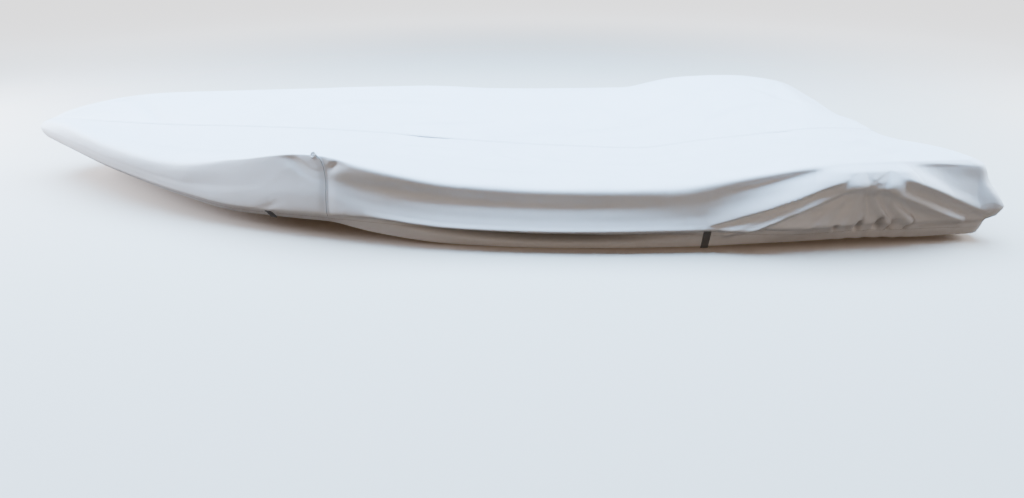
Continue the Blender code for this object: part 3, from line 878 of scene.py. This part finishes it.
def weave_group():
    """Plain weave: warp and weft threads as sine ridges that pass over each other in turn."""
    group, given, result = new_group("plain_weave", "Pitch", 0.002, ("Height",))
    split = add_node(group, "SeparateXYZ", Vector=given.outputs["Place"])
    turns = maths(group, "DIVIDE", math.pi, given.outputs["Pitch"])
    angles = [maths(group, "MULTIPLY", split.outputs[axis], turns) for axis in "XY"]
    warp, weft = (maths(group, "ABSOLUTE", maths(group, "SINE", angle)) for angle in angles)
    over = maths(group, "MULTIPLY", *(maths(group, "COSINE", angle) for angle in angles))
    turn = maths(group, "MULTIPLY_ADD", maths(group, "SIGN", over), 0.5, 0.5)
    warp_part = maths(group, "MULTIPLY", warp, turn)
    weft_part = maths(group, "MULTIPLY", weft, maths(group, "SUBTRACT", 1.0, turn))
    feed(result, Height=maths(group, "ADD", warp_part, weft_part))
    return group


def soft_crumple_group():
    """Handling creases: a broad soft noise and finer ridges stretched along the cloth."""
    group, given, result = new_group("soft_crumple", "Size", 6.0, ("Height", "Patches"))
    place, size = given.outputs["Place"], given.outputs["Size"]
    broad = add_node(group, "TexNoise", Vector=place, Scale=size, Detail=3.0, Roughness=0.5,
                     Distortion=0.6).outputs["Fac"]
    turned = add_node(group, "Mapping", Vector=place, Rotation=(0.0, 0.0, 0.35),
                      Scale=(1.0, 2.6, 1.0))
    fine = group.nodes.new("ShaderNodeTexNoise")
    fine.noise_type = "RIDGED_MULTIFRACTAL"
    feed(fine, Vector=turned.outputs[0], Scale=maths(group, "MULTIPLY", size, 1.7), Detail=2.0,
         Roughness=0.45)
    ridges = maths(group, "MULTIPLY", fine.outputs["Fac"], 0.28)
    feed(result, Height=maths(group, "ADD", broad, ridges), Patches=broad)
    return group


def read_cloth(tree, group, **values):
    """A node group read at the piece's own flat map, in metres, with its setting."""
    place = tree.nodes.new("ShaderNodeUVMap")
    place.uv_map = "cloth"
    node = tree.nodes.new("ShaderNodeGroup")
    node.node_tree = group
    return feed(node, Place=place.outputs["UV"], **values)


def new_material(name, **values):
    """A material, with its Principled shader's inputs set."""
    material = bpy.data.materials.new(name)
    material.use_nodes = True
    shader = material.node_tree.nodes["Principled BSDF"]
    return material, material.node_tree, feed(shader, **values)


def coated_cloth(name, colours, pitch, groups):
    """Tight plain weave with a thin coating: pale, slightly sheened and softly crumpled."""
    material, tree, shader = new_material(name, Roughness=0.55, Sheen_Weight=0.12,
                                          Sheen_Roughness=0.5, Specular_IOR_Level=0.4)
    crumple = read_cloth(tree, groups["crumple"], Size=5.0)
    patches = crumple.outputs["Patches"]
    weave = read_cloth(tree, groups["weave"], Pitch=pitch).outputs["Height"]
    tone = maths(tree, "MULTIPLY_ADD", weave, 0.35, maths(tree, "MULTIPLY", patches, 0.65))
    clean = mix_colours(tree, tone, colours["shade"], colours["cloth"])
    # Painted shade: the attribute mixes the colour towards a dark tone where shadow falls in the
    # tuck, at the gathers' feet and in the creases
    painted_shade_node = tree.nodes.new("ShaderNodeAttribute")
    painted_shade_node.attribute_name = "soil"
    soft = bump(tree, crumple.outputs["Height"], 0.008, 0.5)
    feed(shader, Base_Color=mix_colours(tree, painted_shade_node.outputs["Fac"], clean, colours["soil"]),
         Roughness=blend_values(tree, patches, 0.62, 0.48),
         Normal=bump(tree, weave, 0.0004, 0.5, Normal=soft))
    return material


def ribbed_webbing(name, colours, groups):
    """Narrow woven strap: a coarse plain weave in two dark tones."""
    material, tree, shader = new_material(name, Roughness=0.8)
    weave = read_cloth(tree, groups["weave"], Pitch=WEBBING_PITCH).outputs["Height"]
    feed(shader,
         Base_Color=mix_colours(tree, weave, colours["webbing_shade"], colours["webbing"]),
         Roughness=blend_values(tree, weave, 0.88, 0.72),
         Normal=bump(tree, weave, 0.0006, 0.8))
    return material


def sewing_thread(name, colour):
    """Twisted polyester thread: fine slanted bands on Object coordinates."""
    material, tree, shader = new_material(name, Roughness=0.6)
    place = tree.nodes.new("ShaderNodeTexCoord").outputs["Object"]
    wave = add_node(tree, "TexWave", Scale=THREAD_TWIST, Vector=place)
    wave.bands_direction = "DIAGONAL"
    dark = tuple(0.75 * c for c in colour)
    feed(shader, Base_Color=mix_colours(tree, wave.outputs["Fac"], dark, colour))
    return material


# ---------------------------------------------------------------------------------------
# What a user can change

def length(name, text, default, low, high):
    """A length that a user can change."""
    return bpy.props.FloatProperty(name=name, description=text, default=default, min=low,
                                   max=high, precision=4, subtype="DISTANCE", unit="LENGTH")


def tint(name, text, default, high=1.0):
    """A colour that a user can change."""
    return bpy.props.FloatVectorProperty(name=name, description=text, default=default, size=3,
                                         min=0.0, max=high, subtype="COLOR")


def lamp_power(name, text, default):
    """A lamp's power that a user can change."""
    return bpy.props.FloatProperty(name=name, description=text, default=default, min=0.0,
                                   subtype="POWER", unit="POWER")


class CoverSizes(bpy.types.PropertyGroup):
    """Sizes of the finished cloth, its seams and its straps."""

    cloth: length("Cloth", "Thickness of the coated cloth", 0.0016, 0.0005, 0.003)
    weave: length("Weave", "Distance between neighbouring threads", 0.0018, 0.0004, 0.01)
    seam_width: length("Seam width", "Width of the felled centre seam", 0.016, 0.006, 0.03)
    seam_height: length("Seam height", "Height of the felled seam above the cloth",
                        0.0017, 0.0004, 0.004)
    stitch_pitch: length("Stitch pitch", "Distance from one stitch to the next",
                         0.0060, 0.003, 0.012)
    thread: length("Thread", "Thickness of the sewing thread", 0.0009, 0.0003, 0.002)
    strap_width: length("Strap width", "Width of the webbing loops", 0.0260, 0.015, 0.05)
    strap_thickness: length("Strap thickness", "Thickness of the webbing", 0.0016, 0.001, 0.003)


class CoverColours(bpy.types.PropertyGroup):
    """Colours of the cloth, thread and webbing."""

    cloth: tint("Cloth", "Lighter tone of the cloth", (0.76, 0.775, 0.81))
    shade: tint("Cloth shade", "Darker tone of the cloth", (0.64, 0.655, 0.69))
    # Painted shade: the dark colour laid in the tuck, the gathers and the creases where shadow
    # falls
    soil: tint("Soil", "Tone of the soil held in the tuck and creases", (0.15, 0.145, 0.14))
    thread: tint("Thread", "Colour of the sewing thread", (0.20, 0.20, 0.21))
    webbing: tint("Webbing", "Lighter tone of the webbing", (0.17, 0.175, 0.19))
    webbing_shade: tint("Webbing shade", "Darker tone of the webbing", (0.07, 0.073, 0.08))


class StudioLook(bpy.types.PropertyGroup):
    """Floor, light and camera."""

    floor_level: length("Floor level", "Height of the floor", -0.002, -1.0, 1.0)
    floor_colour: tint("Floor", "Colour of the floor", (0.60, 0.54, 0.49))
    far_glow: tint("Far floor", "Light added to the floor where the lamps don't reach",
                   (1.9, 1.9, 1.95), 4.0)
    bounce: tint("Floor bounce", "Colour that the floor throws back on the cloth",
                 (0.075, 0.052, 0.038))
    sky: bpy.props.FloatProperty(
        name="Dome", description="Strength of the dim dome", default=0.31, min=0.0)
    overhead: lamp_power("Overhead lamp", "Power of the broad lamp above", 1700.0)
    front_light: lamp_power("Front fill", "Power of the warm fill in front", 36.0)
    bow_light: lamp_power("Bow lamp", "Power of the lamp beyond the bow", 420.0)
    stern_light: lamp_power("Stern lamp", "Power of the lamp beyond the stern", 260.0)
    lens: bpy.props.FloatProperty(
        name="Lens", description="Focal length over 36 mm wide film",
        default=17.578, min=8.0, max=200.0)


def settings():
    """The three groups of settings."""
    scene = bpy.context.scene
    return scene.cover_sizes, scene.cover_colours, scene.studio_look


def shared_material(name):
    """Fetch or make one of the cover's materials."""
    found = bpy.data.materials.get(name)
    if found:
        return found
    sizes, colours, _ = settings()
    tones = {label: tuple(getattr(colours, label))
             for label in ("cloth", "shade", "soil", "thread", "webbing", "webbing_shade")}
    groups = {
        "weave": bpy.data.node_groups.get("plain_weave") or weave_group(),
        "crumple": bpy.data.node_groups.get("soft_crumple") or soft_crumple_group(),
    }
    if name == "coated_cloth":
        return coated_cloth(name, tones, sizes.weave, groups)
    if name == "ribbed_webbing":
        return ribbed_webbing(name, tones, groups)
    return sewing_thread(name, tones["thread"])


# ---------------------------------------------------------------------------------------
# Pieces

HALF_NAMES = {PORT: "port", STARBOARD: "starboard"}


def carry(slot, *pieces):
    """Let pieces ride on the one body. The slot is not used."""
    for piece in pieces:
        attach(piece, "root")


class COVER_OT_halves(bpy.types.Operator):
    """Build the two cloth halves, from the centre seam over the rails to the hem"""

    bl_idname = "cover.halves"
    bl_label = "Cloth halves"

    def execute(self, context):
        sizes = context.scene.cover_sizes
        for side, name in HALF_NAMES.items():
            outer, runs, soil = cloth_half(side)
            inner = (outer - sizes.cloth * grid_normals(outer, side))[::2, ::2]
            spots = flat_spots(outer, runs)
            spots = np.concatenate((spots.reshape(-1, 2), spots[::2, ::2].reshape(-1, 2)))
            # Painted shade for the outer points and the coarser inner ones
            soil = np.concatenate((soil.ravel(), soil[::2, ::2].ravel()))
            half = make_piece(f"cloth_{name}", *closed_sheet(outer, inner, side),
                              shared_material("coated_cloth"), SHARP_CLOTH, spots, soil)
            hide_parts(f"panel_{name}")
            carry("cloth", half)
        return {"FINISHED"}


def centre_path():
    """The cover's middle line, from the bow's hem over the top to the stern's hem.

    Each pass of smoothing moves every point halfway to the middle of its neighbours.
    """
    rows = np.linspace(LAST_ROW, 0.0, SEAM_END_STEPS)
    bow = skirt_points(0.0, rows[None, :], PORT)[0]
    stern = skirt_points(RUN_END, rows[None, ::-1], PORT)[0]
    along = np.linspace(bow[-1, 0], stern[0, 0], SEAM_STEPS + 1)[1:-1]
    top = np.stack((along, 0.0 * along, top_height(along, 0.0 * along, PORT)), axis=-1)
    path = np.concatenate((bow, top, stern))
    path[:, 1] = 0.0
    for _ in range(SEAM_PASSES):
        path[1:-1] += 0.5 * ((path[:-2] + path[2:]) / 2 - path[1:-1])
    tangent = unit(np.gradient(path, axis=0))
    normal = np.stack((-tangent[:, 2], 0.0 * tangent[:, 2], tangent[:, 0]), axis=-1)
    return to_part_frame(path), normal


def stitches_piece(name, points, faces):
    """A piece of sewing thread."""
    return make_piece(name, points, faces, shared_material("thread"), SHARP_THREAD)


class COVER_OT_centre_seam(bpy.types.Operator):
    """Build the felled seam along the middle and its two rows of stitches"""

    bl_idname = "cover.centre_seam"
    bl_label = "Centre seam"

    def execute(self, context):
        sizes = context.scene.cover_sizes
        path, normal = centre_path()
        _, across, upright = path_frame(path, normal)
        half, rise = sizes.seam_width / 2, sizes.seam_height
        profile = ((half, -SEAM_EDGE_SINK), *((x * half, z * rise) for x, z in SEAM_TOP),
                   (-half, -SEAM_EDGE_SINK), (0.0, -SEAM_MIDDLE_SINK))
        bow_gap = (path[:, 0] - BOW_START - BOW_SEAM_PLACE) / BOW_SEAM_REACH
        stand = 1.0 + BOW_SEAM_RISE * np.exp(-bow_gap ** 2)
        band = swept_band(path, across, upright * stand[:, None], profile)
        spots = np.stack((np.repeat(path[:, 0], len(profile)),
                          np.tile([p[0] for p in profile], len(path))), axis=-1)
        seam = make_piece("centre_seam", *band, shared_material("coated_cloth"), SHARP_SEAM, spots)
        parts = []
        for side in (PORT, STARBOARD):
            line = (path + across * (side * SEAM_STITCH_PLACE * half)
                    + upright * (stand * SEAM_STITCH_SINK * rise)[:, None])
            parts.append(stitch_row(line[SEAM_STITCH_ENDS], upright[SEAM_STITCH_ENDS],
                                    sizes.stitch_pitch, SEAM_STITCH_SHARE * sizes.stitch_pitch,
                                    sizes.thread))
        carry("cloth", seam, stitches_piece("centre_stitches", *join_parts(parts)))
        return {"FINISHED"}


class COVER_OT_hem_stitches(bpy.types.Operator):
    """Build the row of stitches that holds the turned hem, on both halves"""

    bl_idname = "cover.hem_stitches"
    bl_label = "Hem stitches"

    def execute(self, context):
        sizes = context.scene.cover_sizes
        parts = []
        for side in (PORT, STARBOARD):
            band = skirt_points(HEM_STITCH_RUNS, HEM_STITCH_ROWS, side)
            normal = grid_normals(band, side)[:, 1]
            line = to_part_frame(band[:, 1]) + HEM_STITCH_LIFT * normal
            parts.append(stitch_row(line, normal, sizes.stitch_pitch,
                                    HEM_STITCH_SHARE * sizes.stitch_pitch, sizes.thread))
        carry("cloth", stitches_piece("hem_stitches", *join_parts(parts)))
        return {"FINISHED"}


def dart_path():
    """The dart's line on the port skirt, top to hem, with the cloth's normals along it.

    Each height is turned into a row on its run's own column. A normal is the cross product
    of the steps down and along between the points on either side.
    """
    places = np.array(DART_LINE)
    t = np.linspace(0.0, len(places) - 1.0, DART_STEPS)
    runs, heights = (np.interp(t, np.arange(len(places)), column) for column in places.T)
    for _ in range(DART_PASSES):
        runs[1:-1] = np.convolve(runs, (0.25, 0.5, 0.25), mode="valid")
    fine_rows = np.linspace(0.0, LAST_ROW, DART_FINE_ROWS)
    levels = skirt_points(runs, fine_rows[None, :], PORT)[..., 2]
    rows = np.array([np.interp(-height, -level, fine_rows)
                     for height, level in zip(heights, levels)])
    patch_rows = rows[:, None] + np.array((-DART_PATCH_ROW, 0.0, DART_PATCH_ROW))
    before, middle, after = (skirt_points(runs + step, patch_rows, PORT)
                             for step in (-DART_PATCH_RUN, 0.0, DART_PATCH_RUN))
    normal = unit(np.cross(middle[:, 2] - middle[:, 0], after[:, 1] - before[:, 1]))
    return to_part_frame(middle[:, 1]), normal


class COVER_OT_dart(bpy.types.Operator):
    """Build the dart's raised seam on the port side and the pinch at its top"""

    bl_idname = "cover.dart"
    bl_label = "Dart"

    def execute(self, context):
        path, normal = dart_path()
        _, across, upright = path_frame(path, normal)
        parts, spots = [], []
        for offset in (-DART_OFFSET, DART_OFFSET):
            parts.append(swept_band(path + across * offset, across, upright, DART_BEAD))
            spots.append(np.stack((np.tile([p[0] + offset for p in DART_BEAD], len(path)),
                                   np.repeat(path[:, 2], len(DART_BEAD))), axis=-1))
        seam = make_piece("dart_seam", *join_parts(parts), shared_material("coated_cloth"),
                          SHARP_CLOTH, np.concatenate(spots))
        row = stitch_row(path + upright * DART_STITCH_LIFT, upright, **DART_STITCH)
        thread = stitches_piece("dart_stitches", *row)
        knot = self.pinch(path[0] - KNOT_SINK * upright[0], across[0], upright[0])
        carry("cloth", seam, thread, knot)
        return {"FINISHED"}

    @staticmethod
    def pinch(centre, across, upright):
        """A small twisted pucker: a torus whose tube swells and shrinks three times round."""
        down = np.cross(across, upright)
        big, small = np.meshgrid(*(np.linspace(0, 2 * np.pi, steps + 1)[:-1]
                                   for steps in KNOT_STEPS), indexing="ij")
        tube = KNOT_TUBE + KNOT_TUBE_SWELL * np.sin(3 * big + KNOT_TURN)
        ring = KNOT_RING + KNOT_RING_SWELL * np.sin(2 * big) + tube * np.cos(small)
        lift = tube * np.sin(small) + 0.5 * KNOT_TUBE
        points = (centre + across * (ring * np.cos(big))[..., None]
                  + down * (KNOT_SQUASH * ring * np.sin(big))[..., None]
                  + upright * lift[..., None])
        index = np.arange(big.size).reshape(big.shape)
        right = np.roll(index, -1, axis=0)
        faces = np.stack((index, right, np.roll(right, -1, axis=1), np.roll(index, -1, axis=1)),
                         axis=-1).reshape(-1, 4)
        spots = np.stack((0.01 * big, 0.01 * small), axis=-1)
        return make_piece("dart_pinch", points, faces, shared_material("coated_cloth"), None, spots)


class COVER_OT_straps(bpy.types.Operator):
    """Build the four webbing loops at the hem"""

    bl_idname = "cover.straps"
    bl_label = "Webbing loops"

    def execute(self, context):
        sizes = context.scene.cover_sizes
        for side, side_name in HALF_NAMES.items():
            for place, run in LOOP_RUNS.items():
                loop = self.strap(f"strap_{side_name}_{place}", run, side, sizes)
                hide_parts(f"loop_{side_name}_{place}")
                carry("webbing", loop)
        return {"FINISHED"}

    @staticmethod
    def strap(name, run, side, sizes):
        """A flat strap that follows the hem and hangs just below it, thinner at its edges."""
        spread = np.linspace(-0.5, 0.5, LOOP_COLUMNS) * sizes.strap_width
        rows = np.linspace(LOOP_TOP_ROW, LAST_ROW, LOOP_ROWS)
        band = skirt_points(run + spread, rows[None, :], side)
        below = band[:, -1:] - np.linspace(*LOOP_DROP)[None, :, None] * np.array((0, 0, 1.0))
        band = to_part_frame(np.concatenate((band, below), axis=1))
        outward = grid_normals(band, side)
        crown = 1.0 - (2.0 * np.abs(spread) / sizes.strap_width) ** 8
        lift = LOOP_GAP + sizes.strap_thickness * (LOOP_EDGE + (1.0 - LOOP_EDGE) * crown)
        outer = band + outward * lift[:, None, None]
        inner = band + outward * LOOP_GAP
        down = LOOP_ROW_SPOT * np.arange(band.shape[1])
        spots = np.stack(np.broadcast_arrays(spread[:, None], down[None, :]), axis=-1)
        spots = np.concatenate((spots.reshape(-1, 2), spots.reshape(-1, 2)))
        return make_piece(name, *closed_sheet(outer, inner, side),
                          shared_material("ribbed_webbing"), SHARP_SEAM, spots)


FLOOR_REACH = 40.0
GLOW_START = 2.2         # the floor's glow starts this far from the middle
GLOW_END = 6.5
DOME_TONES = ((0.62, 0.46, 0.34), (0.80, 0.82, 0.90))    # level, overhead
CAMERA_PLACE = (2.349, -2.27, 0.88)    # from the bow's datum
CAMERA_DIP = 0.64        # fall of the view for each metre ahead
CAMERA_SHIFT = (-0.046875, 0.0205)
FILM_WIDTH = 36.0        # millimetres

# Name, place, target, size, setting with its power, colour
LAMPS = (
    ("front_fill", (0.2, -4.0, 1.9), (0.0, -0.7, 0.1), (6.0, 0.8), "front_light",
     (1.00, 0.72, 0.48)),
    ("overhead", (0.0, 0.45, 3.3), (0.0, 0.0, 0.1), (6.5, 2.8), "overhead",
     (0.38, 0.66, 1.00)),
    ("beyond_bow", (-4.2, 0.0, 1.6), (-1.5, 0.0, 0.1), (1.6, 1.6), "bow_light",
     (0.84, 0.88, 1.00)),
    ("beyond_stern", (4.8, 0.2, 1.7), (1.6, 0.0, 0.1), (2.2, 2.0), "stern_light",
     (0.92, 0.95, 1.00)),
)


class COVER_OT_stage(bpy.types.Operator):
    """Set the floor, the soft light and the camera"""

    bl_idname = "cover.stage"
    bl_label = "Stage"

    def execute(self, context):
        look = context.scene.studio_look
        self.floor(look)
        self.light(context, look)
        self.camera(context, look)
        return {"FINISHED"}

    @staticmethod
    def floor(look):
        """A plain pale floor that throws little light back on the cloth.

        Camera rays see the pale surface, with a glow that rises as a smooth step of the
        distance from the middle where the lamps no longer reach. Other rays see a dark one.
        """
        material, tree, shader = new_material(
            "pale_floor", Roughness=0.9, Base_Color=(*look.floor_colour, 1.0),
            Specular_IOR_Level=0.0, Emission_Strength=1.0)
        distance = tree.nodes.new("ShaderNodeVectorMath")
        distance.operation = "LENGTH"
        plug(distance.inputs[0], tree.nodes.new("ShaderNodeTexCoord").outputs["Object"])
        far = add_node(tree, "MapRange", Value=distance.outputs["Value"], From_Min=GLOW_START,
                       From_Max=GLOW_END)
        far.interpolation_type = "SMOOTHSTEP"
        glow = mix_colours(tree, far.outputs["Result"], (0.0, 0.0, 0.0), look.far_glow)
        feed(shader, Emission_Color=glow)
        matt = add_node(tree, "BsdfDiffuse", Color=(*look.bounce, 1.0))
        mix = tree.nodes.new("ShaderNodeMixShader")
        seen = tree.nodes.new("ShaderNodeLightPath").outputs["Is Camera Ray"]
        for socket, value in zip(mix.inputs, (seen, matt.outputs[0], shader.outputs[0])):
            plug(socket, value)
        feed(tree.nodes["Material Output"], Surface=mix.outputs[0])
        points = np.array([(x * FLOOR_REACH, y * FLOOR_REACH, look.floor_level)
                           for x, y in ((-1, -1), (1, -1), (1, 1), (-1, 1))])
        make_piece("floor", points, [(0, 1, 2, 3)], material)

    @staticmethod
    def light(context, look):
        """A dim dome, a broad lamp overhead, a low warm fill and a soft lamp beyond each end."""
        world = bpy.data.worlds.new("soft_dome")
        context.scene.world = world
        world.use_nodes = True
        tree = world.node_tree
        tree.nodes.clear()
        way = tree.nodes.new("ShaderNodeTexCoord").outputs["Generated"]
        split = add_node(tree, "SeparateXYZ", Vector=way)
        ramp = add_node(tree, "ValToRGB", Fac=split.outputs["Z"])
        for stop, tone in zip(ramp.color_ramp.elements, DOME_TONES):
            stop.color = (*tone, 1.0)
        background = add_node(tree, "Background", Color=ramp.outputs["Color"], Strength=look.sky)
        add_node(tree, "OutputWorld", Surface=background.outputs[0])
        for name, place, target, size, setting, colour in LAMPS:
            lamp = bpy.data.lights.new(name, "AREA")
            lamp.shape = "RECTANGLE"
            lamp.size, lamp.size_y = size
            lamp.energy = getattr(look, setting)
            lamp.color = colour
            holder = bpy.data.objects.new(name, lamp)
            holder.location = place
            way = Vector(target) - Vector(place)
            holder.rotation_euler = way.to_track_quat("-Z", "Y").to_euler()
            holder.visible_camera = False
            context.scene.collection.objects.link(holder)

    @staticmethod
    def camera(context, look):
        """A wide view from above the port side."""
        camera = bpy.data.cameras.new("camera")
        camera.lens = look.lens
        camera.sensor_width = FILM_WIDTH
        camera.shift_x, camera.shift_y = CAMERA_SHIFT
        camera.clip_start = 0.05
        holder = bpy.data.objects.new("camera", camera)
        holder.location = to_part_frame(CAMERA_PLACE)
        holder.rotation_euler = (math.radians(90.0) - math.atan(CAMERA_DIP), 0.0, 0.0)
        context.scene.collection.objects.link(holder)
        context.scene.camera = holder


class COVER_OT_declare(bpy.types.Operator):
    """An operator that returns at once and builds nothing"""

    bl_idname = "cover.declare"
    bl_label = "Cloth sizes"

    def execute(self, context):
        return {"FINISHED"}


class COVER_PT_panel(bpy.types.Panel):
    """Lists the cover's operators and settings in the sidebar"""

    bl_idname = "COVER_PT_panel"
    bl_label = "Boat cover"
    bl_space_type = "VIEW_3D"
    bl_region_type = "UI"
    bl_category = "Cover"

    def draw(self, context):
        layout = self.layout
        for operator in OPERATORS:
            layout.operator(operator.bl_idname)
        for group in settings():
            box = layout.box()
            for name in group.__annotations__:
                box.prop(group, name)


GROUPS = (CoverSizes, CoverColours, StudioLook)
OPERATORS = (COVER_OT_halves, COVER_OT_centre_seam, COVER_OT_hem_stitches, COVER_OT_dart,
             COVER_OT_straps, COVER_OT_declare, COVER_OT_stage)


def register():
    """Register the classes and hang the settings on the scene."""
    for item in GROUPS + OPERATORS + (COVER_PT_panel,):
        bpy.utils.register_class(item)
    bpy.types.Scene.cover_sizes = bpy.props.PointerProperty(type=CoverSizes)
    bpy.types.Scene.cover_colours = bpy.props.PointerProperty(type=CoverColours)
    bpy.types.Scene.studio_look = bpy.props.PointerProperty(type=StudioLook)


def unregister():
    """Undo register."""
    del bpy.types.Scene.cover_sizes
    del bpy.types.Scene.cover_colours
    del bpy.types.Scene.studio_look
    for item in reversed(GROUPS + OPERATORS + (COVER_PT_panel,)):
        bpy.utils.unregister_class(item)


def main():
    """Build every piece in order."""
    register()
    bpy.ops.cover.halves()
    bpy.ops.cover.centre_seam()
    bpy.ops.cover.hem_stitches()
    bpy.ops.cover.dart()
    bpy.ops.cover.straps()
    bpy.ops.cover.declare()
    bpy.ops.cover.stage()


if __name__ == "__main__":
    main()
